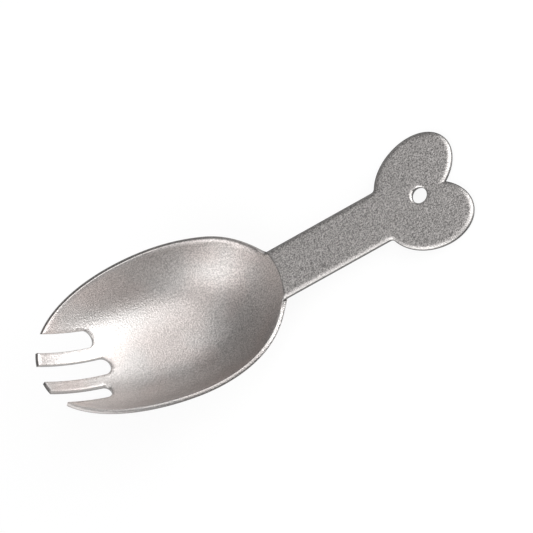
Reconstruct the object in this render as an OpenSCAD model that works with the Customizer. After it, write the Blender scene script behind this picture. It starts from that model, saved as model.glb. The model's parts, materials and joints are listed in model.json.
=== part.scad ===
// One-piece spork, blanked and pressed from a single sheet of titanium: an egg-shaped bowl with
// three slots that make four tines, a flat handle bent up from the rim, and a two-lobed end
// with a hang hole. The part is built as it leaves the press, with the widest place of the rim
// at height zero and the neck at x = 0, and is then tipped back until it rests on the bowl and
// on both lobes.

/* [Sheet] */
// Thickness of the sheet
sheet_t = 1.4; // [1.2:0.1:1.6]
// Bevel that breaks every outer edge of the sheet
edge_bevel = 0.5; // [0.3:0.05:0.55]

/* [Bowl] */
// Width of the bowl inside its rim
bowl_w = 39.5; // [36:0.5:43]
// Length of the bowl from the neck to its widest place
rear_len = 28.4; // [26:0.1:30]
// Length of the bowl from its widest place to the tips of the tines
front_len = 34.1; // [31:0.1:37]
// Depth of the bowl below its rim
bowl_depth = 11.8; // [10:0.1:13]
// How far the rim climbs from its widest place to the neck
neck_rise = 4.2; // [2:0.1:5]
// How far the rim dips from its widest place to the tips of the tines
nose_dip = 0.7; // [0:0.1:1.5]
// How far the rim is trimmed back on both shoulders beside the neck
shoulder_trim = 0.7; // [0:0.1:1.2]

/* [Tines] */
// Width of the middle slot
mid_slot_w = 4.6; // [4:0.1:5]
// Width of the two outer slots
side_slot_w = 4; // [3.6:0.1:4.4]
// Distance between the middle lines of two slots
slot_pitch = 7.4; // [6.8:0.1:8]
// Length of the middle slot, from the front of the bowl to its round end
slot_len = 16.8; // [14:0.1:19]
// How much nearer to the front the outer slots end
slot_stagger = 1.9; // [0:0.1:3]

/* [Handle] */
// Width of the handle
handle_w = 13.5; // [12:0.5:15]
// Angle at which the handle climbs from the rim
handle_angle = 18.9; // [15:0.1:22]
// Length from the neck to the outermost point of the lobes, along the handle
handle_len = 52.6; // [48:0.1:57]

/* [Lobed end] */
// Length of each oval lobe
lobe_len = 23.2; // [21:0.1:25]
// Width of each lobe
lobe_w = 17.2; // [16:0.1:19]
// Angle by which the length of each lobe turns away from the handle
lobe_angle = 20.5; // [14:0.5:26]
// Distance between the middles of the two lobes
lobe_gap = 12; // [11:0.1:13]

/* [Hang hole] */
// Diameter of the hang hole
hole_d = 4; // [3:0.1:4.6]
// Bevel round both mouths of the hang hole
hole_bevel = 0.5; // [0.2:0.05:0.6]
// Distance from the middle of the hang hole to the outermost point of the lobes
hole_back = 11.8; // [10.8:0.1:12.8]

/* [Hidden] */

// Powers that shape the egg's ends, its sides, the steepness of its wall and the climb of its rim
end_power = 2;
side_power = 2.25;
wall_power = 1.5;
sheer_power = 3;

// Facets of the pressed bowl: columns round it, and rings from its middle to its rim
columns = 72;
rings = 10;
// Sides of each oval lobe, and facets of every round cut
lobe_steps = 32;
round_steps = 64;

// Overrun of every cut past the faces that it goes through
overrun = 2;
// How far the handle's root is let into the bowl's inner face
root_lap = 0.05;
// Share of the rim's reach to which the bowl's inner face is carried on upward for trimming
flare_share = 1.1;
// Small share of the rim's reach, used to measure the wall's slope along its edge
edge_share = 0.01;
// Angles round the middle of the bowl, to both sides of the neck, between which a shoulder is trimmed
trim_start_angle = 5;
trim_end_angle = 50;

half_w = bowl_w / 2;
half_handle = handle_w / 2;
bowl_len = rear_len + front_len;

// The egg's outline and pressed surface. A place on it has a share of the way from the middle
// of the bowl to its rim, and an angle round the middle that starts at the neck.
function signed_power(value, power) = sign(value) * pow(abs(value), power);
function reach(angle) = cos(angle) < 0 ? front_len : rear_len;
function plan(share, angle) = [
    reach(angle) * signed_power(share * cos(angle), 2 / end_power) - rear_len,
    half_w * signed_power(share * sin(angle), 2 / side_power)
];
// Rise of the rim line, and its slope, at a distance x from the neck
function reach_at(x) = x < -rear_len ? front_len : rear_len;
function climb_at(x) = x < -rear_len ? -nose_dip : neck_rise;
function sheer(x) = climb_at(x) * pow(abs(x + rear_len) / reach_at(x), sheer_power);
function sheer_slope(x) =
    let (run_share = (x + rear_len) / reach_at(x))
    climb_at(x) * sheer_power * signed_power(run_share, sheer_power - 1) / reach_at(x);
function face(share, angle) =
    let (spot = plan(share, angle))
    [spot.x, spot.y, sheer(spot.x) - bowl_depth * (1 - pow(share, 2 * wall_power))];

// Direction square to the pressed surface, worked out from its slopes along x and y
function slope_x(share, angle) =
    let (along = pow(abs(share * cos(angle)), 2 * (end_power - 1) / end_power))
    sign(cos(angle)) * end_power * along / reach(angle);
function slope_y(share, angle) =
    let (across = pow(abs(share * sin(angle)), 2 * (side_power - 1) / side_power))
    sign(sin(angle)) * side_power * across / half_w;
function normal(share, angle) =
    let (steepness = bowl_depth * wall_power * pow(share, 2 * (wall_power - 1)))
    let (rise = sheer_slope(plan(share, angle).x))
    let (out = [-steepness * slope_x(share, angle) - rise, -steepness * slope_y(share, angle), 1])
    out / norm(out);

// The same for a place given by its distances from the neck and from the middle line
function share_at(x, y) =
    sqrt(pow(abs(x + rear_len) / reach_at(x), end_power) + pow(abs(y) / half_w, side_power));
function angle_at(x, y) =
    atan2(
        signed_power(y / half_w, side_power / 2),
        signed_power((x + rear_len) / reach_at(x), end_power / 2)
    );
function face_at(x, y) = face(share_at(x, y), angle_at(x, y));
function normal_at(x, y) = normal(share_at(x, y), angle_at(x, y));

// Place at a depth under the pressed surface, measured square to it
function skin(share, angle, depth) = face(share, angle) - depth * normal(share, angle);

// Share of the reach at which the rim is trimmed, and the share at which its bevel starts
function rim_share(angle) =
    let (past = min(angle, 360 - angle) - trim_start_angle)
    let (turn_share = min(max(past / (trim_end_angle - trim_start_angle), 0), 1))
    1 - shoulder_trim / rear_len * sin(180 * turn_share);
function bevel_share(angle) =
    let (rim = rim_share(angle))
    rim - edge_bevel * edge_share / norm(face(rim, angle) - face(rim - edge_share, angle));

// One column of the bowl's skin, from its middle over the rim to its underside
function skin_column(angle) = concat(
    [for (i = [1:rings]) skin(bevel_share(angle) * i / rings, angle, 0)],
    [for (depth = [edge_bevel, sheet_t - edge_bevel]) skin(rim_share(angle), angle, depth)],
    [for (i = [rings:-1:1]) skin(bevel_share(angle) * i / rings, angle, sheet_t)]
);
// One column of the space inside the bowl, from above the rim down along the skin to its middle
function space_column(angle) = concat(
    [for (share = [flare_share, 1]) skin(share, angle, root_lap)],
    [for (i = [rings:-1:1]) skin(bevel_share(angle) * i / rings, angle, root_lap)]
);

// A closed solid from columns of equal length and the two points at which they all start and end
module solid_of(all_columns, first_point, last_point) {
    count = len(all_columns);
    size = len(all_columns[0]);
    points = concat([for (column = all_columns) each column], [first_point, last_point]);
    sides = [
        for (c = [0:count - 1], r = [0:size - 2])
            let (here = c * size + r, next = ((c + 1) % count) * size + r)
            each [[here, next, next + 1], [here, next + 1, here + 1]]
    ];
    starts = [for (c = [0:count - 1]) [count * size, ((c + 1) % count) * size, c * size]];
    ends = [
        for (c = [0:count - 1])
            [count * size + 1, c * size + size - 1, ((c + 1) % count) * size + size - 1]
    ];
    polyhedron(points, concat(sides, starts, ends));
}

module bowl_shell() {
    solid_of(
        [for (c = [0:columns - 1]) skin_column(c * 360 / columns)],
        skin(0, 0, 0),
        skin(0, 0, sheet_t)
    );
}

// Everything above the bowl's inner face
module bowl_space() {
    solid_of(
        [for (c = [0:columns - 1]) space_column(c * 360 / columns)],
        [-rear_len, 0, face(flare_share, 0).z],
        skin(0, 0, root_lap)
    );
}

// A slot with a round inner end, cut square to the sheet at the middle of the slot's length
module slot(offset, width, length) {
    root_x = length - bowl_len - width / 2;
    middle = normal_at(root_x - length / 2, offset);
    cut_h = sheet_t + bowl_depth;
    cut_len = 2 * length;
    translate([root_x, offset, face_at(root_x, offset).z]) rotate([0, atan2(middle.x, middle.z), 0])
        translate([0, 0, -cut_h]) linear_extrude(2 * cut_h) {
            circle(d = width, $fn = round_steps);
            translate([-cut_len, -width / 2]) square([cut_len, width]);
        }
}

module slots() {
    slot(0, mid_slot_w, slot_len);
    for (side = [-1, 1]) slot(side * slot_pitch, side_slot_w, slot_len - slot_stagger);
}

// Where the handle's plane crosses the rim: halfway between the neck's middle and its corners
corner_share = pow(half_handle / half_w, side_power);
corner_x = rear_len * (pow(1 - corner_share, 1 / end_power) - 1);
bend_x = corner_x / 2;
bend_z = sheer(bend_x);
root_len = sheet_t - 2 * corner_x;

// Points of a lobe's edge, or of a line inside it, as seen from the middle of the lobe
function lobe_point(inset, angle) =
    let (along = (lobe_len / 2 - inset) * cos(angle), across = (lobe_w / 2 - inset) * sin(angle))
    [
        along * cos(lobe_angle) - across * sin(lobe_angle),
        along * sin(lobe_angle) + across * cos(lobe_angle)
    ];
function lobe_line(inset) = [for (i = [0:lobe_steps - 1]) lobe_point(inset, i * 360 / lobe_steps)];
function lobe_reach(inset) = max([for (point = lobe_line(inset)) point.x]);
lobe_x = handle_len - lobe_reach(0);

// Moves a piece drawn on the level to the handle's own plane, with its upper face at height zero
module on_handle() translate([bend_x, 0, bend_z]) rotate([0, -handle_angle, 0]) children();

// One oval lobe of sheet with both edges bevelled
module lobe() {
    translate([lobe_x, lobe_gap / 2, -sheet_t]) hull() {
        linear_extrude(sheet_t) polygon(lobe_line(edge_bevel));
        translate([0, 0, edge_bevel]) linear_extrude(sheet_t - 2 * edge_bevel) polygon(lobe_line(0));
    }
}

module handle_bar() {
    low = -sheet_t;
    inner = half_handle - edge_bevel;
    section = [
        [-inner, 0], [-half_handle, -edge_bevel], [-half_handle, low + edge_bevel], [-inner, low],
        [inner, low], [half_handle, low + edge_bevel], [half_handle, -edge_bevel], [inner, 0]
    ];
    translate([-root_len, 0, 0]) rotate([90, 0, 90]) linear_extrude(root_len + lobe_x) polygon(section);
}

module handle_blank() {
    difference() {
        on_handle() handle_bar();
        bowl_space();
    }
    on_handle() for (side = [0, 1]) mirror([0, side, 0]) lobe();
}

module hang_hole() {
    mouth_h = hole_bevel + overrun;
    mouth_r = hole_d / 2 + hole_bevel + overrun;
    on_handle() translate([handle_len - hole_back, 0, 0]) {
        translate([0, 0, -sheet_t - overrun])
            cylinder(h = sheet_t + 2 * overrun, d = hole_d, $fn = round_steps);
        translate([0, 0, -hole_bevel])
            cylinder(h = mouth_h, r1 = hole_d / 2, r2 = mouth_r, $fn = round_steps);
        translate([0, 0, hole_bevel - sheet_t - mouth_h])
            cylinder(h = mouth_h, r1 = mouth_r, r2 = hole_d / 2, $fn = round_steps);
    }
}

// The rest pose. The part is tipped back until the underside of the bowl and the underside of
// the lobes touch the table together; the angle is found by halving its range again and again.
keel = [
    for (angle = [0, 180], i = [0:rings]) skin(bevel_share(angle) * i / rings, angle, sheet_t)
];
end_reach = lobe_x + lobe_reach(edge_bevel);
end_point = [
    bend_x + end_reach * cos(handle_angle) + sheet_t * sin(handle_angle),
    0,
    bend_z + end_reach * sin(handle_angle) - sheet_t * cos(handle_angle)
];
function height(point, tilt) = point.z * cos(tilt) - point.x * sin(tilt);
function forward(point, tilt) = point.x * cos(tilt) + point.z * sin(tilt);
function lowest(tilt) = min([for (point = keel) height(point, tilt)]);
function halve(low, high, turns) =
    let (middle = (low + high) / 2)
    turns == 0 ? middle
    : height(end_point, middle) > lowest(middle) ? halve(middle, high, turns - 1)
    : halve(low, middle, turns - 1);
tilt_limit = 60;
tilt_turns = 30;
rest_tilt = halve(0, tilt_limit, tilt_turns);

// The front of the part at rest is at the two tines beside the middle slot
nose_angle = 180 - asin(pow(mid_slot_w / bowl_w, side_power / 2));
nose = [
    skin(1, nose_angle, edge_bevel),
    skin(1, nose_angle, sheet_t - edge_bevel),
    skin(bevel_share(nose_angle), nose_angle, sheet_t)
];
tail = [
    bend_x + handle_len * cos(handle_angle) + edge_bevel * sin(handle_angle),
    0,
    bend_z + handle_len * sin(handle_angle) - edge_bevel * cos(handle_angle)
];
front_x = min([for (point = nose) forward(point, rest_tilt)]);
tail_x = forward(tail, rest_tilt);

module at_rest() {
    translate([-(front_x + tail_x) / 2, 0, -lowest(rest_tilt)]) rotate([0, rest_tilt, 0]) children();
}

module spork() {
    color("darkgray") at_rest() difference() {
        union() {
            bowl_shell();
            handle_blank();
        }
        slots();
        hang_hole();
    }
}

spork();
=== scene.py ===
"""A titanium spork: a flat blank with a rounded edge is laid out and pressed by Geometry Nodes."""

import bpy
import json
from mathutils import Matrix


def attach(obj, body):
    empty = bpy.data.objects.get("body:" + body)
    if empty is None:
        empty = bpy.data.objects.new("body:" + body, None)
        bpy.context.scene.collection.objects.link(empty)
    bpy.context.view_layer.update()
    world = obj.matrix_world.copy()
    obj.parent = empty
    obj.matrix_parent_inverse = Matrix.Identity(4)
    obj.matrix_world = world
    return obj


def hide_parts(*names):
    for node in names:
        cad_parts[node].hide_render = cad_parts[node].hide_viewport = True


bl_info = {
    "name": "Pressed Spork",
    "version": (1, 0, 0),
    "blender": (4, 5, 0),
    "location": "View3D > Sidebar > Spork",
    "description": "Presses a one-piece spork from a flat blank and sets its studio",
    "category": "Add Mesh",
}

import json
from collections import namedtuple
from math import asin, atan2, ceil, cos, hypot, pi, radians, sin, tan
from types import SimpleNamespace

import bpy
import numpy as np
from bpy.props import FloatProperty, FloatVectorProperty, PointerProperty
from mathutils import Matrix, Vector
from mathutils.geometry import delaunay_2d_cdt

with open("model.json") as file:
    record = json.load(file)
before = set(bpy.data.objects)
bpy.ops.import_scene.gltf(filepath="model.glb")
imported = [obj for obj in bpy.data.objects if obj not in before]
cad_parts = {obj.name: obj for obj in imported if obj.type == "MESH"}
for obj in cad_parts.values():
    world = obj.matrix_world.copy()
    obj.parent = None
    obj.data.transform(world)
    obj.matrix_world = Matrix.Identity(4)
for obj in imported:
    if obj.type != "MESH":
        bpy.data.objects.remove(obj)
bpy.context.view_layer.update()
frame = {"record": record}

MM = 0.001
HANG_HOLE = frame["record"]["mounts"][0]

# How far a place of the blank is bent up: not in the bowl, fully on the handle, half at the crease
BOWL = 0
CREASE = 0.5
HANDLE = 1

# Points of the blank's lines before they are spread evenly, and round the hang hole
RIM_STEPS = 6000
RIM_POINTS = 1200
LOBE_POINTS = 400
ARC_POINTS = 120
HOLE_POINTS = 72
# Newton's steps that bring the crease to where the two faces meet
CREASE_STEPS = 4

# Spacing of the mesh's points, along edges and over the faces
EDGE_GAP = 0.35 * MM
FACE_GAP = 0.6 * MM
# The bowl's points lie in egg-shaped rows, with this many for each gap in the row's mean radius
ROW_POINTS = 5.2
# The handle's points lie in a staggered grid: its rows on each side, and their distance in gaps
GRID_ROWS = 28
GRID_STEP = 0.87
# How near these points come to an edge, and to the crease, whose hollow side needs more room
EDGE_ROOM = 0.33 * MM
UPPER_CREASE_ROOM = 0.33 * MM
UNDER_CREASE_ROOM = 0.75 * MM
# Room round a corner at the crease, in widths of the widest edge
CORNER_ROOM = 1.6
# How far the edge's inner lines are run on to meet at a corner, in widths of the edge
MEETING_REACH = 3
# Places this near each other, in millimetres, count as one when a face is triangulated
SAME_PLACE = 1e-5
# The triangulation's output type that fills the whole hull of its points
WHOLE_HULL = 0

# The worn upper edge, from the face to the sheet's side: shares of its width and of its depth
UPPER_EDGE = ((0.2, 0.14), (0.45, 0.4), (0.7, 0.66), (0.9, 0.86), (1.0, 1.0))
# The lower edge, from the side to the underside, in the same shares
UNDER_EDGE = ((1.0, 1.0), (0.9, 0.6), (0.62, 0.22))
# Share of the upper edge's width from which it shows the painted shade of the sheet's side, a dark
# colour that stands for the shade the side sits in
SHADE_FROM = 0.9
# How much of that painted shade the bowl's rim shows on the upper and on the lower half of its side
UPPER_RIM_SHADE = 0.35
LOWER_RIM_SHADE = 0.65


def length(label, text, value):
    """A property for a length given in millimetres."""
    return FloatProperty(
        name=label, description=text, default=value * MM, unit="LENGTH", precision=5
    )


def angle(label, text, value):
    """A property for an angle given in degrees."""
    return FloatProperty(name=label, description=text, default=radians(value), subtype="ANGLE")


def plain(label, text, value):
    """A property for a number without a unit, from zero up."""
    return FloatProperty(name=label, description=text, default=value, min=0.0)


def colour(label, text, value):
    """A property for a colour."""
    return FloatVectorProperty(name=label, description=text, default=value, subtype="COLOR")


def power(label, text, value):
    """A property for a lamp's power in watts."""
    return FloatProperty(name=label, description=text, default=value, min=0.0, unit="POWER")


class SporkSizes(bpy.types.PropertyGroup):
    """Sizes of the spork, in the terms of its flat blank and its press tool."""

    sheet: length("Sheet", "Thickness of the sheet", 1.4)
    edge_width: length("Edge width", "How far the handle's worn edge reaches in", 0.95)
    rim_edge: length("Rim edge width", "How far the worn edge of rim and slots reaches in", 0.15)
    rim_blend: length("Edge blend", "Along how much of the shoulder the worn edge narrows", 2.5)
    edge_depth: length("Edge depth", "How far the handle's worn edge reaches down the side", 0.42)
    under_width: length("Lower edge width", "How far the handle's lower edge reaches in", 0.75)
    under_depth: length("Lower edge depth", "How far the lower edge reaches up the side", 0.55)
    bowl_width: length("Bowl width", "Width of the bowl inside its rim", 39.5)
    rear: length("Rear length", "From the neck to the widest place of the bowl", 28.4)
    front: length("Front length", "From the widest place of the bowl to the tines' tips", 34.1)
    depth: length("Bowl depth", "Depth of the bowl below its rim", 11.8)
    rise: length("Neck rise", "How far the rim climbs to the neck", 4.2)
    dip: length("Nose dip", "How far the rim dips to the tips of the tines", 0.84)
    shoulder_trim: length("Shoulder trim", "How far the rim is trimmed beside the neck", 0.7)
    trim_start: angle("Trim start", "Angle at which the trimmed shoulder starts", -5)
    trim_end: angle("Trim end", "Angle at which the trimmed shoulder ends", 60)
    side_power: plain("Side power", "How full the sides of the egg outline are", 2.25)
    sheer_power: plain("Sheer power", "How late the rim climbs towards the neck", 3.0)
    wall_power: plain("Wall power", "How steeply the wall climbs to the rim", 1.5)
    thinning: plain("Thinning", "Share of the thickness that pressing takes at the rim", 0.12)
    mid_slot_width: length("Middle slot width", "Width of the middle slot", 4.6)
    side_slot_width: length("Outer slot width", "Width of the two outer slots", 4.0)
    slot_pitch: length("Slot pitch", "Distance between the middle lines of two slots", 7.4)
    slot_length: length("Slot length", "Length of the middle slot", 16.8)
    slot_stagger: length("Slot stagger", "How much shorter the outer slots are", 1.9)
    arm_width: length("Handle width", "Width of the handle", 13.5)
    arm_length: length("Handle length", "From the neck to the end of the lobes", 52.58)
    arm_angle: angle("Handle angle", "Angle at which the handle climbs", 18.9)
    lobe_length: length("Lobe length", "Length of each oval lobe", 23.2)
    lobe_width: length("Lobe width", "Width of each oval lobe", 17.2)
    lobe_gap: length("Lobe gap", "Distance between the middles of the lobes", 12.0)
    lobe_angle: angle("Lobe angle", "Angle at which the lobes spread", 20.5)
    waist_radius: length("Waist radius", "Radius of the corner between handle and lobe", 1.2)
    hole_radius: length("Hole radius", "Radius of the hang hole", 2.0)
    hole_edge: length("Hole edge", "Width of the rounded edge of the hang hole", 0.4)
    hole_back: length("Hole setback", "From the hang hole's middle to the lobes' end", 11.78)


class Wire:
    """A socket of a node tree that can be used in Python sums."""

    def __init__(self, board, socket):
        self.board, self.socket = board, socket

    def math(self, operation, *values):
        """A Math node on these values."""
        return self.board.node("ShaderNodeMath", {"operation": operation}, dict(enumerate(values)))

    def out(self, name):
        """Another output of the node that this socket belongs to."""
        return Wire(self.board, self.socket.node.outputs[name])

    def __add__(self, other):
        return self.math("ADD", self, other)

    def __radd__(self, other):
        return self.math("ADD", other, self)

    def __sub__(self, other):
        return self.math("SUBTRACT", self, other)

    def __rsub__(self, other):
        return self.math("SUBTRACT", other, self)

    def __mul__(self, other):
        return self.math("MULTIPLY", self, other)

    def __rmul__(self, other):
        return self.math("MULTIPLY", other, self)

    def __truediv__(self, other):
        return self.math("DIVIDE", self, other)

    def __rtruediv__(self, other):
        return self.math("DIVIDE", other, self)

    def __pow__(self, other):
        return self.math("POWER", self, other)

    def __neg__(self):
        return self.math("MULTIPLY", self, -1.0)

    def __abs__(self):
        return self.math("ABSOLUTE", self)

    def __lt__(self, other):
        return self.math("LESS_THAN", self, other)

    def __gt__(self, other):
        return self.math("GREATER_THAN", self, other)

    def within(self, low, high):
        """The value's smoothed share of the way from low to high, held between 0 and 1."""
        settings = {"clamp": True, "interpolation_type": "SMOOTHSTEP"}
        sockets = {"Value": self, "From Min": low, "From Max": high}
        return self.board.node("ShaderNodeMapRange", settings, sockets)


class Board:
    """A node tree that is filled by one method."""

    def __init__(self, tree):
        self.tree = tree

    def node(self, kind, settings=None, sockets=None, output=0):
        """Adds a node, sets its settings, then its sockets, and returns one of its outputs."""
        made = self.tree.nodes.new(kind)
        for name, value in (settings or {}).items():
            setattr(made, name, value)
        for name, value in (sockets or {}).items():
            if isinstance(value, Wire):
                self.tree.links.new(value.socket, made.inputs[name])
            else:
                made.inputs[name].default_value = value
        return Wire(self, made.outputs[output]) if made.outputs else made

    def mix(self, factor, first, second):
        """Mix of two colours by a factor."""
        settings = {"data_type": "RGBA"}
        return self.node("ShaderNodeMix", settings, {0: factor, 6: first, 7: second}, output=2)


def clear_board(holder):
    """The emptied node tree of a material or a world, as a board."""
    holder.use_nodes = True
    holder.node_tree.nodes.clear()
    return Board(holder.node_tree)


# The press tool. These sums take numbers and arrays as well as the sockets of a node tree.
def bowl_face(x, y, s):
    """Height of the bowl's inner face over a place in the blank, and its slopes along x and y."""
    along = x + s.rear
    ahead = along < 0
    reach = s.rear + (s.front - s.rear) * ahead
    run = along / reach
    side = abs(y) / s.half
    climb = s.rise - (s.rise + s.dip) * ahead
    egg = run * run + side**s.side_power
    steep = s.depth * s.wall_power * egg ** (s.wall_power - 1)
    height = climb * abs(run) ** s.sheer_power - s.depth * (1 - egg**s.wall_power)
    sheer = climb * s.sheer_power * abs(run) ** (s.sheer_power - 1) * (1 - 2 * ahead)
    slope_x = (steep * 2 * run + sheer) / reach
    slope_y = steep * s.side_power * side ** (s.side_power - 1) * (1 - 2 * (y < 0)) / s.half
    return height, slope_x, slope_y


def pressed(x, y, depth, bent, s):
    """Place in the round of a point of the blank at a depth below its upper face."""
    height, slope_x, slope_y = bowl_face(x, y, s)
    flat = 1 - bent
    share = flat / (slope_x * slope_x + slope_y * slope_y + 1) ** 0.5
    square_x = -slope_x * share - s.sine * bent
    square_y = -slope_y * share
    square_z = share + s.cosine * bent
    sunk = depth / (square_x * square_x + square_y * square_y + square_z * square_z)
    out = x - s.bend_x
    place_x = x * flat + (s.bend_x + out * s.cosine) * bent - square_x * sunk
    place_y = y - square_y * sunk
    place_z = height * flat + (s.bend_z + out * s.sine) * bent - square_z * sunk
    leant_x = place_x * s.lean_cos + place_z * s.lean_sin
    leant_z = place_z * s.lean_cos - place_x * s.lean_sin
    return leant_x, place_y, leant_z


def numbers(sizes):
    """The sizes as plain numbers, with those that follow from them."""
    s = SimpleNamespace(**{name: getattr(sizes, name) for name in sizes.__annotations__})
    s.half = s.bowl_width / 2
    s.arm_half = s.arm_width / 2
    s.bend_x = s.rear * ((1 - (s.arm_half / s.half) ** s.side_power) ** 0.5 - 1) / 2
    s.bend_z = s.rise * (1 + s.bend_x / s.rear) ** s.sheer_power
    s.sine, s.cosine = sin(s.arm_angle), cos(s.arm_angle)
    s.lean = s.arm_angle + asin(HANG_HOLE["axis"][0])
    s.lean_sin, s.lean_cos = sin(s.lean), cos(s.lean)
    s.hole_x = s.bend_x + s.arm_length - s.hole_back
    return s


def egg_share(x, y, s):
    """How far out in the bowl the places lie: 0 at its deepest place and 1 at the rim."""
    along = x + s.rear
    run = along / np.where(along < 0, s.front, s.rear)
    return np.minimum(run**2 + (abs(y) / s.half) ** s.side_power, 1)


# Lines of the flat blank, as arrays of points
def arc(middle_x, middle_y, radius, start, end, squash=1.0):
    """An arc between two angles, which may be squashed along x."""
    turn = np.linspace(start, end, ARC_POINTS)
    x = middle_x + squash * radius * np.cos(turn)
    return np.column_stack([x, middle_y + radius * np.sin(turn)])


def rim(start_y, end_y, s):
    """The rim between two distances from the middle line, which are negative for the front half."""
    turn = np.linspace(0, pi, RIM_STEPS + 1)
    shoulder = np.clip((turn - s.trim_start) / (s.trim_end - s.trim_start), 0, 1)
    share = 1 - s.shoulder_trim / s.rear * np.sin(pi * shoulder) ** 2
    reach = np.where(np.cos(turn) < 0, s.front, s.rear)
    x = reach * share * np.cos(turn) - s.rear
    y = s.half * (share * np.sin(turn)) ** (2 / s.side_power)
    rear = slice(RIM_STEPS // 2 + 1)
    turns = [np.interp(abs(end), y[rear], turn[rear]) for end in (start_y, end_y)]
    turns = [at if end > 0 else pi - at for end, at in zip((start_y, end_y), turns)]
    at = np.linspace(*turns, RIM_POINTS)
    return np.column_stack([np.interp(at, turn, x), np.interp(at, turn, y)])


def rim_place(y, s):
    """The place in the front half of the rim at a distance from the middle line."""
    return rim(-y, -y, s)[0]


def slot(middle, width, slot_length, s):
    """The outline of a slot, from the rim along its upper side, round its end and back."""
    half = width / 2
    root_x = slot_length - s.rear - s.front - half
    _, slope, _ = bowl_face(root_x - slot_length / 2, middle, s)
    squash = 1 / hypot(1, slope)
    low = rim_place(abs(middle - half), s)
    low[1] = middle - half
    high = rim_place(middle + half, s)
    return np.vstack([high, arc(root_x, middle, half, pi / 2, -pi / 2, squash), low])


def lobe(s):
    """The edge of the first lobe, from the notch round to the handle's edge."""
    long, wide = s.lobe_length / 2, s.lobe_width / 2
    turned, square = sin(s.lobe_angle), cos(s.lobe_angle)
    middle_x = s.bend_x + s.arm_length - hypot(long * square, wide * turned)
    tall, phase = hypot(long * turned, wide * square), atan2(long * turned, wide * square)
    notch = asin(-s.lobe_gap / 2 / tall) - phase
    waist = pi - asin((s.arm_half - s.lobe_gap / 2) / tall) - phase
    turn = np.linspace(notch, waist, LOBE_POINTS)
    along, across = long * np.cos(turn), wide * np.sin(turn)
    x = middle_x + along * square - across * turned
    return np.column_stack([x, s.lobe_gap / 2 + along * turned + across * square])


def run_along(points):
    """How far along its line each point lies."""
    return np.concatenate([[0], np.cumsum(np.hypot(*np.diff(points, axis=0).T))])


def spread_at(points, shares):
    """Points at these shares of a line's length."""
    run = run_along(points)
    return np.column_stack([np.interp(shares * run[-1], run, points[:, k]) for k in (0, 1)])


def evenly(points):
    """The same line with its points an edge gap apart, and both ends kept."""
    count = max(3, ceil(run_along(points)[-1] / EDGE_GAP) + 1)
    return spread_at(points, np.linspace(0, 1, count))


def inset(line, bent, width, s):
    """The line moved into the sheet by a width that is measured along the pressed face."""
    step = np.diff(line, axis=0)
    middle = (line[1:] + line[:-1]) / 2
    slope_x, slope_y = np.zeros(len(step)), np.zeros(len(step))
    if bent == BOWL:
        _, slope_x, slope_y = bowl_face(middle[:, 0], middle[:, 1], s)
    along = np.column_stack([step, slope_x * step[:, 0] + slope_y * step[:, 1]])
    square = np.column_stack([-slope_x, -slope_y, np.ones(len(step))])
    inward = np.cross(square, along)
    inward /= np.linalg.norm(inward, axis=1)[:, None]
    before, after = np.vstack([inward[:1], inward]), np.vstack([inward, inward[-1:]])
    mitre = (before + after) / (1 + (before * after).sum(1))[:, None]
    return line + np.reshape(width, (-1, 1)) * mitre[:, :2]


def cross(a, b):
    """Cross product of flat directions."""
    return a[..., 0] * b[..., 1] - a[..., 1] * b[..., 0]


def joined(first, second, corner, reach):
    """Two lines, run on past their ends, and cut where they meet nearest to a corner."""
    if reach:
        ahead, back = first[-1] - first[-2], second[0] - second[1]
        first = np.vstack([first, first[-1] + ahead / np.hypot(*ahead) * reach])
        second = np.vstack([second[0] + back / np.hypot(*back) * reach, second])
    a, along = first[:-1, None], np.diff(first, axis=0)[:, None]
    b, other = second[None, :-1], np.diff(second, axis=0)[None]
    with np.errstate(divide="ignore", invalid="ignore"):
        u = cross(b - a, other) / cross(along, other)
        v = cross(b - a, along) / cross(along, other)
    hits = np.argwhere((u >= 0) & (u <= 1) & (v >= 0) & (v <= 1))
    if not len(hits):
        raise RuntimeError("two sides of the blank don't meet")
    points = np.array([first[i] + u[i, j] * (first[i + 1] - first[i]) for i, j in hits])
    best = np.hypot(*(points - corner).T).argmin()
    i, j = hits[best]
    return np.vstack([first[: i + 1], points[best]]), np.vstack([points[best], second[j + 1 :]])


def filleted(first, second, radius, s):
    """Two lines of the handle, joined by an arc in the hollow corner between them."""
    past, back = (inset(line, HANDLE, -radius, s) for line in (first, second))
    past, back = joined(past, back, first[-1], 0)
    middle = past[-1]
    first, second = first[: len(past) - 1], second[1 - len(back) :]
    start, end = (atan2(*(place - middle)[::-1]) for place in (first[-1], second[0]))
    round_corner = arc(*middle, radius, start, end - 2 * pi * (end > start))
    return np.vstack([first, round_corner[1:-1], second])


def outline(s):
    """Sides of the outline, anticlockwise from the notch, each with how far it is bent."""
    half_slot = s.side_slot_width / 2
    outer, inner = s.slot_pitch + half_slot, s.slot_pitch - half_slot
    shoulder = rim(s.arm_half, -outer, s)
    oval = lobe(s)
    arm = evenly(np.array([oval[-1], shoulder[0]]))
    upper = [
        (filleted(oval, arm, s.waist_radius, s), HANDLE),
        (shoulder, BOWL),
        (slot(s.slot_pitch, s.side_slot_width, s.slot_length - s.slot_stagger, s), BOWL),
        (rim(-inner, -s.mid_slot_width / 2, s), BOWL),
    ]
    mirrored = [(line[::-1] * [1, -1], bent) for line, bent in reversed(upper)]
    sides = upper + [(slot(0, s.mid_slot_width, s.slot_length, s), BOWL)] + mirrored
    sides = [(evenly(line), bent) for line, bent in sides]
    for k, (line, bent) in enumerate(sides):
        # Beside a corner at the crease the worn edge turns sharply, and the faces would fold over
        # each other, so the nearest points are left out: one on the handle, and two on the rim
        dropped = 1 if bent == HANDLE else 2
        if sides[k - 1][1] != bent:
            line = np.vstack([line[:1], line[1 + dropped :]])
        if sides[(k + 1) % len(sides)][1] != bent:
            line = np.vstack([line[: -1 - dropped], line[-1:]])
        sides[k] = line, bent
    return sides


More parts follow.
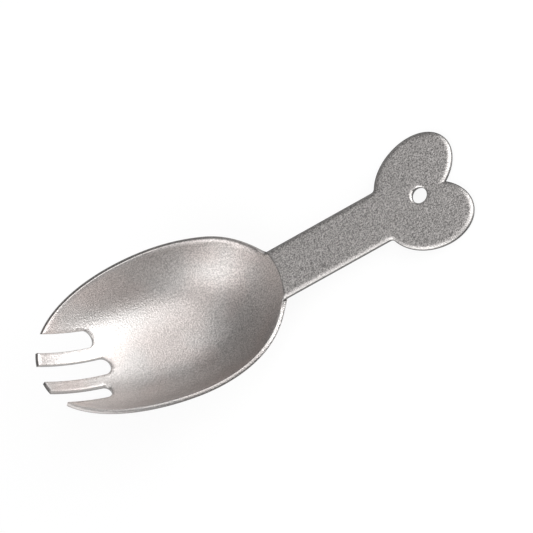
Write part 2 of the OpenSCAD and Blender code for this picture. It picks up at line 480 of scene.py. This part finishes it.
def crease(s, reach):
    """The line where the handle's face meets the bowl's inner face."""
    y = np.linspace(-reach, reach, max(3, ceil(2 * reach / EDGE_GAP)))
    x = s.rear * ((1 - (abs(y) / s.half) ** s.side_power) ** 0.5 - 1)
    climb = tan(s.arm_angle)
    for _ in range(CREASE_STEPS):
        height, slope, _ = bowl_face(x, y, s)
        x = x - (height - s.bend_z - (x - s.bend_x) * climb) / (slope - climb)
    return np.column_stack([x, y])


def edge_widths(line, bent, s):
    """Width of the worn edge along a line; on the shoulders it narrows away from the handle."""
    if bent == HANDLE:
        return np.full(len(line), s.edge_width)
    corner_x = s.bend_x * 2
    away = np.hypot(line[:, 0] - corner_x, abs(line[:, 1]) - s.arm_half)
    share = np.clip(1 - away / s.rim_blend, 0, 1)
    return s.rim_edge + (s.edge_width - s.rim_edge) * share * share * (3 - 2 * share)


def wear(width, s):
    """How worn an edge is next to the handle's: its share of that one's depth."""
    return (width / s.edge_width) ** 0.5


def inner_lines(sides, widths, widest, fold, s):
    """The sides moved in by their edge's width, and brought to meet at each corner."""
    inner = [inset(line, bent, width, s) for (line, bent), width in zip(sides, widths)]
    for k, (line, bent) in enumerate(sides):
        after = (k + 1) % len(sides)
        corner = line[-1]
        if sides[after][1] == bent:
            reach = MEETING_REACH * widths[k][-1]
            inner[k], inner[after] = joined(inner[k], inner[after], corner, reach)
            continue
        end = fold[-1] if corner[1] > 0 else fold[0]
        for which, flip in ((k, 1), (after, -1)):
            moved = inner[which][::flip]
            clear = np.hypot(*(moved - corner).T) > CORNER_ROOM * widest
            inner[which] = np.vstack([moved[clear], end])[::flip]
    return inner


# A closed line of the blank: its points on the sheet's side and at the face's border, how far each
# is bent, the width of the edge between them, and which of them are corners
Loop = namedtuple("Loop", "outer inner bend width corners")


def loops(s, under):
    """The loops of the outline and of the hang hole for one face, and that face's crease."""
    sides = outline(s)
    widths = [edge_widths(line, bent, s) for line, bent in sides]
    widest, hole_width = s.edge_width, s.hole_edge
    if under:
        widths = [s.under_width * wear(width, s) for width in widths]
        widest, hole_width = s.under_width, s.under_width * wear(s.hole_edge, s)
    fold = crease(s, s.arm_half - widest)
    outer, inner, bend, corners = [], [], [], []
    for k, inner_line in enumerate(inner_lines(sides, widths, widest, fold, s)):
        line, bent = sides[k]
        corners.append(len(bend))
        outer += line[:-1].tolist()
        run = run_along(line)
        inner += spread_at(inner_line, run / run[-1])[:-1].tolist()
        bend += [bent if sides[k - 1][1] == bent else CREASE] + [bent] * (len(line) - 2)
    width = np.concatenate([each[:-1] for each in widths])
    edge = Loop(np.array(outer), np.array(inner), np.array(bend, float), width, corners)
    turns = np.linspace(0, -2 * pi, HOLE_POINTS + 1)[:-1]
    ring = np.column_stack([np.cos(turns), np.sin(turns)])
    outer, inner = (
        ring * radius + [s.hole_x, 0] for radius in (s.hole_radius, s.hole_radius + hole_width)
    )
    bend, width = np.full(HOLE_POINTS, float(HANDLE)), np.full(HOLE_POINTS, hole_width)
    return (edge, Loop(outer, inner, bend, width, [])), fold


def inside(points, rings):
    """Which points lie inside an odd number of rings."""
    odd = np.zeros(len(points), bool)
    for ring in rings:
        for (x0, y0), (x1, y1) in zip(ring, np.roll(ring, -1, axis=0)):
            if y0 != y1:
                spans = (y0 > points[:, 1]) != (y1 > points[:, 1])
                crossing_x = x0 + (x1 - x0) * (points[:, 1] - y0) / (y1 - y0)
                odd ^= spans & (points[:, 0] < crossing_x)
    return odd


def bowl_rows(s):
    """Points over the whole egg of the bowl, in egg-shaped rows."""
    rows = [np.array([[-s.rear, 0.0]])]
    count = ceil(s.half / FACE_GAP)
    for k in range(1, count):
        share = k / count
        points = ceil(ROW_POINTS * share * (s.front + s.half) / 2 / FACE_GAP)
        turn = np.linspace(0, 2 * pi, points, endpoint=False)
        reach = np.where(np.cos(turn) < 0, s.front, s.rear)
        side = np.sign(np.sin(turn)) * abs(share * np.sin(turn)) ** (2 / s.side_power)
        rows.append(np.column_stack([reach * share * np.cos(turn) - s.rear, s.half * side]))
    return np.vstack(rows)


def handle_grid(s):
    """Points over the handle and its lobes, in a staggered grid."""
    rows = []
    for k, y in enumerate(np.arange(-GRID_ROWS, GRID_ROWS + 1) * FACE_GAP * GRID_STEP):
        x = np.arange(0, s.arm_length, FACE_GAP) + (k % 2) * FACE_GAP / 2
        rows.append(np.column_stack([x, np.full(len(x), y)]))
    return np.vstack(rows)


def nearest(points, line):
    """How near each point comes to the points of a line."""
    return np.array([np.hypot(*(line - point).T).min() for point in points])


def face_points(s, rings, fold, under):
    """Points spread over one face, clear of its border and its crease, and how far each is bent."""
    border = np.vstack(rings)
    crease_room = UNDER_CREASE_ROOM if under else UPPER_CREASE_ROOM
    half_fold = fold[len(fold) // 2 :]
    kept, bends = [], []
    for points, bent in ((bowl_rows(s), BOWL), (handle_grid(s), HANDLE)):
        crease_x = np.interp(abs(points[:, 1]), half_fold[:, 1], half_fold[:, 0])
        own_side = (points[:, 0] > crease_x) == (bent == HANDLE)
        points = points[inside(points, rings) & own_side]
        clear = (nearest(points, border) > EDGE_ROOM) & (nearest(points, fold) > crease_room)
        kept.append(points[clear])
        bends.append(np.full(len(kept[-1]), float(bent)))
    return np.vstack(kept), np.concatenate(bends)


# One face of the blank: its two loops, then all its flat points, how far each is bent, its
# triangles and the links of its crease
Face = namedtuple("Face", "loops points bend triangles crease_links")


def blank_face(s, under):
    """The upper face or the underside of the blank, triangulated between its loops and crease."""
    (edge, hole), fold = loops(s, under)
    rings = [edge.inner, hole.inner]
    spread, spread_bend = face_points(s, rings, fold, under)
    points = np.vstack(rings + [fold[1:-1], spread])
    bend = np.concatenate([edge.bend, hole.bend, np.full(len(fold) - 2, CREASE), spread_bend])
    links, start = [], 0
    for size in (len(ring) for ring in rings):
        links += [(start + i, start + (i + 1) % size) for i in range(size)]
        start += size
    ends = [int(np.hypot(*(edge.inner - end).T).argmin()) for end in (fold[0], fold[-1])]
    chain = [ends[0], *range(start, start + len(fold) - 2), ends[1]]
    crease_links = list(zip(chain, chain[1:]))
    places = [Vector(place) for place in (points / MM).tolist()]
    made = delaunay_2d_cdt(places, links + crease_links, [], WHOLE_HULL, SAME_PLACE)
    made_places, _, made_faces, origins = made[:4]
    origin = [names[0] if names else -1 for names in origins]
    triangles = np.array([[origin[v] for v in face] for face in made_faces])
    if (triangles < 0).any() or len(made_places) != len(points):
        raise RuntimeError("the blank's lines cross each other")
    triangles = triangles[inside(points[triangles].mean(1), rings)]
    return Face((edge, hole), points, bend, triangles, crease_links)


def blank_mesh(s):
    """The flat blank with its rounded edge, as a closed mesh that lies below height zero."""
    # The lower edge reaches in less far than the upper one, so each face is laid out by itself
    upper, lower = blank_face(s, under=False), blank_face(s, under=True)
    count = len(upper.points)
    x, y = ([*upper.points[:, k], *lower.points[:, k]] for k in (0, 1))
    down = [0.0] * count + [s.sheet] * len(lower.points)
    bends, polish, cut = [*upper.bend, *lower.bend], [0.0] * len(x), [0.0] * len(x)
    polygons = upper.triangles.tolist() + (lower.triangles[:, ::-1] + count).tolist()
    sharp = {frozenset(link) for link in upper.crease_links}
    sharp |= {frozenset((a + count, b + count)) for a, b in lower.crease_links}
    start = 0
    for above, below in zip(upper.loops, lower.loops):
        size = len(above.outer)
        worn = wear(above.width, s)
        profile = [
            (above.inner, share, s.edge_depth * worn * sunk, UPPER_RIM_SHADE, share >= SHADE_FROM)
            for share, sunk in UPPER_EDGE
        ]
        profile += [
            (below.inner, share, s.sheet - s.under_depth * worn * sunk, LOWER_RIM_SHADE, True)
            for share, sunk in UNDER_EDGE
        ]
        rows = [list(range(start, start + size))]
        for border, share, sunk, rim_shade, shows_shade in profile:
            place = border + (above.outer - border) * share
            rows.append(list(range(len(x), len(x) + size)))
            x += place[:, 0].tolist()
            y += place[:, 1].tolist()
            down += np.broadcast_to(sunk, size).tolist()
            bends += above.bend.tolist()
            polish += [share] * size
            # Painted shade on the sheet's side: how much of the dark colour each of its points
            # shows
            cut += (np.maximum(above.bend, rim_shade) * shows_shade).tolist()
        rows.append(list(range(count + start, count + start + size)))
        for high, low in zip(rows, rows[1:]):
            after = [(i + 1) % size for i in range(size)]
            polygons += [[high[i], low[i], low[j], high[j]] for i, j in enumerate(after)]
            sharp |= {frozenset((high[i], low[i])) for i in above.corners}
        start += size
    x, y, down, bends = (np.array(values) for values in (x, y, down, bends))
    down *= 1 - s.thinning * egg_share(x, y, s) * (1 - bends)
    mesh = bpy.data.meshes.new("spork")
    mesh.from_pydata(np.column_stack([x, y, -down]).tolist(), [], polygons)
    for name, values in (("bent", bends), ("polish", polish), ("cut", cut)):
        attribute = mesh.attributes.new(name, "FLOAT", "POINT")
        attribute.data.foreach_set("value", np.array(values, np.float32))
    for link in mesh.edges:
        link.use_edge_sharp = frozenset(link.vertices) in sharp
    mesh.update()
    return mesh


# The numbers of the press tool, and the names of the node group's inputs that take them
PRESS_INPUTS = {
    "rear": "Rear length",
    "front": "Front length",
    "half": "Half width",
    "depth": "Bowl depth",
    "rise": "Neck rise",
    "dip": "Nose dip",
    "side_power": "Side power",
    "wall_power": "Wall power",
    "sheer_power": "Sheer power",
    "bend_x": "Bend place",
    "bend_z": "Bend height",
    "arm_angle": "Handle angle",
    "lean": "Lean at rest",
}


def press_tree():
    """Geometry Nodes that press a flat blank into the bowl and bend its handle up."""
    tree = bpy.data.node_groups.new("spork_press", "GeometryNodeTree")
    face = tree.interface
    face.new_socket("Blank", in_out="INPUT", socket_type="NodeSocketGeometry")
    for label in PRESS_INPUTS.values():
        face.new_socket(label, in_out="INPUT", socket_type="NodeSocketFloat")
    face.new_socket("Metal", in_out="INPUT", socket_type="NodeSocketMaterial")
    face.new_socket("Spork", in_out="OUTPUT", socket_type="NodeSocketGeometry")
    board = Board(tree)
    given = board.node("NodeGroupInput")
    s = SimpleNamespace(**{name: given.out(label) for name, label in PRESS_INPUTS.items()})
    climb, lean = s.arm_angle, s.lean
    s.sine, s.cosine = climb.math("SINE", climb), climb.math("COSINE", climb)
    s.lean_sin, s.lean_cos = lean.math("SINE", lean), lean.math("COSINE", lean)
    place = board.node("ShaderNodeSeparateXYZ", {}, {0: board.node("GeometryNodeInputPosition")})
    bent = board.node("GeometryNodeInputNamedAttribute", {"data_type": "FLOAT"}, {"Name": "bent"})
    target = pressed(place.out("X"), place.out("Y"), -place.out("Z"), bent, s)
    moved = board.node("ShaderNodeCombineXYZ", {}, dict(enumerate(target)))
    sockets = {"Geometry": given.out("Blank"), "Position": moved}
    shaped = board.node("GeometryNodeSetPosition", {}, sockets)
    real = board.node("GeometryNodeRealizeInstances", {}, {0: shaped})
    sockets = {"Geometry": real, "Material": given.out("Metal")}
    finished = board.node("GeometryNodeSetMaterial", {}, sockets)
    board.node("NodeGroupOutput", {}, {0: finished})
    return tree


class SporkFinish(bpy.types.PropertyGroup):
    """Colours and texture of the blasted metal."""

    metal: colour("Metal", "Colour of the blasted faces", (0.50, 0.479, 0.468))
    warm: colour("Warm metal", "Colour of its warmer clouds", (0.515, 0.474, 0.458))
    polished: colour("Polished edge", "Colour of the edges", (0.62, 0.60, 0.585))
    # Painted shade: this dark colour on the sheet's side and along the crease stands for shade, not
    # for a darker cut metal
    cut: colour("Cut side", "Colour of the sheet's cut side", (0.15, 0.145, 0.142))
    roughness: plain("Roughness", "Roughness of the blasted faces", 0.42)
    cloud: length("Clouds", "Size of the warmer clouds", 12.0)
    grain: length("Grain", "Size of the blasted grain", 0.36)
    grain_contrast: plain("Grain contrast", "How much the handle's grain varies in lightness", 0.47)
    neck_contrast: plain("Neck contrast", "The same in the bowl beside the neck", 0.31)
    nose_contrast: plain("Nose contrast", "The same at the tines, where pressing smoothed it", 0.15)
    grain_bump: plain("Grain bump", "How much the grain tilts the surface", 1.0)


# Where the noise runs from dark grain to light, and from the cooler metal to the warmer clouds
GRAIN_RANGE = (0.3, 0.7)
CLOUD_RANGE = (0.4, 0.65)
GRAIN_DETAIL = 3.0
CLOUD_DETAIL = 1.0
# Places along X between which the bowl's grain goes from the nose's contrast to the neck's
NOSE_TO_NECK = (-0.045, 0.0)
# Shares of an edge's width between which its polish sets in, and how much of it the rim keeps
POLISH_RANGE = (0.05, 0.7)
RIM_POLISH = 0.2
# Shares of the painted shade on the sheet's side between which it sets in
SIDE_SHADE_RANGE = (0.2, 0.9)
# Painted shade along the crease, on the handle's side: how far a point is bent where it ends, and
# how dark it is
CREASE_SHADE_END = 0.95
CREASE_SHADE_STRENGTH = 0.7
# How much smoother the polished edges are, how much the grain changes the roughness, and how
# deep it is in metres
POLISH_SMOOTHING = 0.12
GRAIN_ROUGHNESS = 0.12
GRAIN_DEPTH = 0.00008


def blasted_metal(finish):
    """Bead-blasted titanium: fine mottled grain, edges that are worn smoother, and painted shade on
    the sheet's side and along the crease.
    """
    material = bpy.data.materials.new("blasted_titanium")
    board = clear_board(material)
    place = board.node("ShaderNodeTexCoord").out("Object")
    polish, bent, cut = (
        board.node("ShaderNodeAttribute", {"attribute_name": name}).out("Fac")
        for name in ("polish", "bent", "cut")
    )
    worn = polish.within(*POLISH_RANGE)

    sockets = {"Vector": place, "Scale": 1 / finish.grain, "Detail": GRAIN_DETAIL}
    grain = board.node("ShaderNodeTexNoise", {}, sockets)
    along = board.node("ShaderNodeSeparateXYZ", {}, {0: place}).out("X")
    gain = finish.neck_contrast - finish.nose_contrast
    bowl_contrast = along.within(*NOSE_TO_NECK) * gain + finish.nose_contrast
    contrast = bowl_contrast * (1 - bent) + finish.grain_contrast * bent
    speckle = (grain.within(*GRAIN_RANGE) - 0.5) * contrast * 2 + 1

    sockets = {"Vector": place, "Scale": 1 / finish.cloud, "Detail": CLOUD_DETAIL}
    cloud = board.node("ShaderNodeTexNoise", {}, sockets).within(*CLOUD_RANGE)
    metal = board.mix(cloud * (1 - bent), [*finish.metal, 1], [*finish.warm, 1])
    sockets = {0: metal, "Scale": speckle}
    mottled = board.node("ShaderNodeVectorMath", {"operation": "SCALE"}, sockets)
    polishing = worn * (RIM_POLISH + (1 - RIM_POLISH) * bent)
    tone = board.mix(polishing, mottled, [*finish.polished, 1])
    # Painted shade on the sheet's side
    tone = board.mix(cut.within(*SIDE_SHADE_RANGE), tone, [*finish.cut, 1])
    # Painted shade: the handle darkened next to the crease, where shade falls in the bend
    line = (bent > CREASE) * (1 - bent.within(CREASE, CREASE_SHADE_END))
    tone = board.mix(line * CREASE_SHADE_STRENGTH, tone, [*finish.cut, 1])

    rough = finish.roughness - POLISH_SMOOTHING * worn + (grain - 0.5) * GRAIN_ROUGHNESS
    sockets = {"Strength": finish.grain_bump, "Distance": GRAIN_DEPTH, "Height": grain}
    bump = board.node("ShaderNodeBump", {}, sockets)
    sockets = {"Base Color": tone, "Roughness": rough, "Metallic": 1.0, "Normal": bump}
    shader = board.node("ShaderNodeBsdfPrincipled", {}, sockets)
    board.node("ShaderNodeOutputMaterial", {}, {"Surface": shader})
    return material


class OBJECT_OT_press_spork(bpy.types.Operator):
    """Lays out the blank, presses it and puts it in the CAD solid's place"""

    bl_idname = "object.press_spork"
    bl_label = "Press Spork"

    def execute(self, context):
        s = numbers(context.scene.spork_sizes)
        material = blasted_metal(context.scene.spork_finish)
        blank = bpy.data.objects.new("blank", blank_mesh(s))
        context.collection.objects.link(blank)
        press = blank.modifiers.new("press", "NODES")
        press.node_group = press_tree()
        inputs = press.node_group.interface.items_tree
        identifiers = {item.name: item.identifier for item in inputs}
        for name, label in PRESS_INPUTS.items():
            press[identifiers[label]] = getattr(s, name)
        press[identifiers["Metal"]] = material
        context.view_layer.update()
        evaluated = blank.evaluated_get(context.evaluated_depsgraph_get())
        mesh = bpy.data.meshes.new_from_object(evaluated)
        bpy.data.objects.remove(blank)
        hole = pressed(s.hole_x, 0.0, s.sheet / 2, HANDLE, s)
        mesh.transform(Matrix.Translation(Vector(HANG_HOLE["pos_m"]) - Vector(hole)))
        mesh.polygons.foreach_set("use_smooth", [True] * len(mesh.polygons))
        mesh.update()
        mesh.name = "pressed_spork"
        spork = bpy.data.objects.new("pressed_spork", mesh)
        context.collection.objects.link(spork)
        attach(spork, "root")
        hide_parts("spork")
        return {"FINISHED"}


class SporkStage(bpy.types.PropertyGroup):
    """The studio: camera, floor, world and lamps."""

    lens: plain("Lens", "Focal length in millimetres", 472.8)
    floor: colour("Floor", "Colour of the floor", (0.9, 0.9, 0.9))
    sky: plain("World level", "Brightness of the light from all round", 0.2)
    right: power("Right lamp", "Power of the broad lamp beyond the lobes", 32.0)
    low: power("Low lamp", "Power of the small lamp low beyond the lobes", 22.0)
    far: power("Far lamp", "Power of the small lamp on the far side of the lobes", 6.0)
    front: power("Front lamp", "Power of the broad lamp beyond the tines", 19.0)
    side: power("Side lamp", "Power of the broad lamp beside the tines", 14.5)
    top: power("Top lamp", "Power of the lamp overhead", 5.5)


# The camera of the photograph: its place, and the directions to its right and upwards
CAMERA_PLACE = Vector((0.65066, -0.70494, 1.40882))
CAMERA_RIGHT = Vector((0.77966, -0.33368, -0.5299))
CAMERA_UP = Vector((0.4961, 0.84551, 0.19751))
SENSOR_WIDTH = 36.0
NEAREST_SEEN = 0.1
FARTHEST_SEEN = 20.0

FLOOR_HALF = 4.0
# How much of a plain white the camera and the metal see of the floor; the rest keeps the shadow
FLOOR_GLOW = 0.9

# Soft disk lamps: direction round the spork from +X and height in degrees, diameter in metres
LAMP_DISTANCE = 2.0
LAMPS = {
    "right": (0, 36, 2.8),
    "low": (-10, 18, 1.2),
    "far": (33, 28, 1.2),
    "front": (216, 38, 2.35),
    "side": (240, 36, 2.35),
    "top": (30, 80, 1.75),
}


def set_camera(context):
    """A long lens at the photograph's viewing angle."""
    lens = bpy.data.cameras.new("camera")
    lens.lens, lens.sensor_width = context.scene.spork_stage.lens, SENSOR_WIDTH
    lens.clip_start, lens.clip_end = NEAREST_SEEN, FARTHEST_SEEN
    camera = bpy.data.objects.new("camera", lens)
    backwards = CAMERA_RIGHT.cross(CAMERA_UP)
    turn = Matrix((CAMERA_RIGHT, CAMERA_UP, backwards)).transposed().to_4x4()
    camera.matrix_world = Matrix.Translation(CAMERA_PLACE) @ turn
    context.collection.objects.link(camera)
    context.scene.camera = camera


def set_floor(context):
    """A plain floor that shows as white, and still takes the spork's shadow."""
    mesh = bpy.data.meshes.new("floor")
    corners = [(-1, -1), (1, -1), (1, 1), (-1, 1)]
    places = [(x * FLOOR_HALF, y * FLOOR_HALF, 0) for x, y in corners]
    mesh.from_pydata(places, [], [(0, 1, 2, 3)])
    floor = bpy.data.objects.new("floor", mesh)
    context.collection.objects.link(floor)
    material = bpy.data.materials.new("floor")
    board = clear_board(material)
    path = board.node("ShaderNodeLightPath")
    seen = path.out("Is Camera Ray") + path.out("Is Glossy Ray") + path.out("Is Transmission Ray")
    paint = (*context.scene.spork_stage.floor, 1)
    diffuse = board.node("ShaderNodeBsdfDiffuse", {}, {"Color": paint})
    glow = board.node("ShaderNodeEmission", {}, {"Strength": 1.0})
    sockets = {0: (seen > 0.5) * FLOOR_GLOW, 1: diffuse, 2: glow}
    mixed = board.node("ShaderNodeMixShader", {}, sockets)
    board.node("ShaderNodeOutputMaterial", {}, {"Surface": mixed})
    mesh.materials.append(material)


def set_lights(context):
    """A world that the camera sees as white, and the soft lamps round the spork."""
    stage = context.scene.spork_stage
    world = bpy.data.worlds.new("studio")
    context.scene.world = world
    board = clear_board(world)
    seen = board.node("ShaderNodeLightPath").out("Is Camera Ray") > 0.5
    shade = board.mix(seen, (stage.sky, stage.sky, stage.sky, 1), (1, 1, 1, 1))
    back = board.node("ShaderNodeBackground", {}, {"Color": shade})
    board.node("ShaderNodeOutputWorld", {}, {"Surface": back})
    for name, (round_degrees, high_degrees, size) in LAMPS.items():
        lamp = bpy.data.lights.new(name, "AREA")
        lamp.shape, lamp.size, lamp.energy = "DISK", size, getattr(stage, name)
        made = bpy.data.objects.new(name, lamp)
        turn, climb = radians(round_degrees), radians(high_degrees)
        direction = Vector((cos(turn) * cos(climb), sin(turn) * cos(climb), sin(climb)))
        made.location = direction * LAMP_DISTANCE
        made.rotation_euler = (-made.location).to_track_quat("-Z", "Y").to_euler()
        context.collection.objects.link(made)


class OBJECT_OT_set_spork_stage(bpy.types.Operator):
    """Sets the floor, the lamps, the world and the camera"""

    bl_idname = "object.set_spork_stage"
    bl_label = "Set Spork Stage"

    def execute(self, context):
        context.scene.view_settings.view_transform = "Standard"
        set_camera(context)
        set_floor(context)
        set_lights(context)
        return {"FINISHED"}


class VIEW3D_PT_spork(bpy.types.Panel):
    """Sizes, finish and steps of the spork"""

    bl_label = "Pressed Spork"
    bl_space_type = "VIEW_3D"
    bl_region_type = "UI"
    bl_category = "Spork"

    def draw(self, context):
        """Lists the properties of each group, and the two steps."""
        for name in GROUPS:
            group = getattr(context.scene, name)
            box = self.layout.box()
            for each in group.__annotations__:
                box.prop(group, each)
        self.layout.operator(OBJECT_OT_press_spork.bl_idname)
        self.layout.operator(OBJECT_OT_set_spork_stage.bl_idname)


GROUPS = {"spork_sizes": SporkSizes, "spork_finish": SporkFinish, "spork_stage": SporkStage}
CLASSES = [*GROUPS.values(), OBJECT_OT_press_spork, OBJECT_OT_set_spork_stage, VIEW3D_PT_spork]


def register():
    """Adds the classes, and the property groups to the scene."""
    for each in CLASSES:
        bpy.utils.register_class(each)
    for name, group in GROUPS.items():
        setattr(bpy.types.Scene, name, PointerProperty(type=group))


def unregister():
    """Takes them away again."""
    for name in GROUPS:
        delattr(bpy.types.Scene, name)
    for each in reversed(CLASSES):
        bpy.utils.unregister_class(each)


def main():
    """Makes the spork and its stage."""
    register()
    bpy.ops.object.press_spork()
    bpy.ops.object.set_spork_stage()


if __name__ == "__main__":
    main()
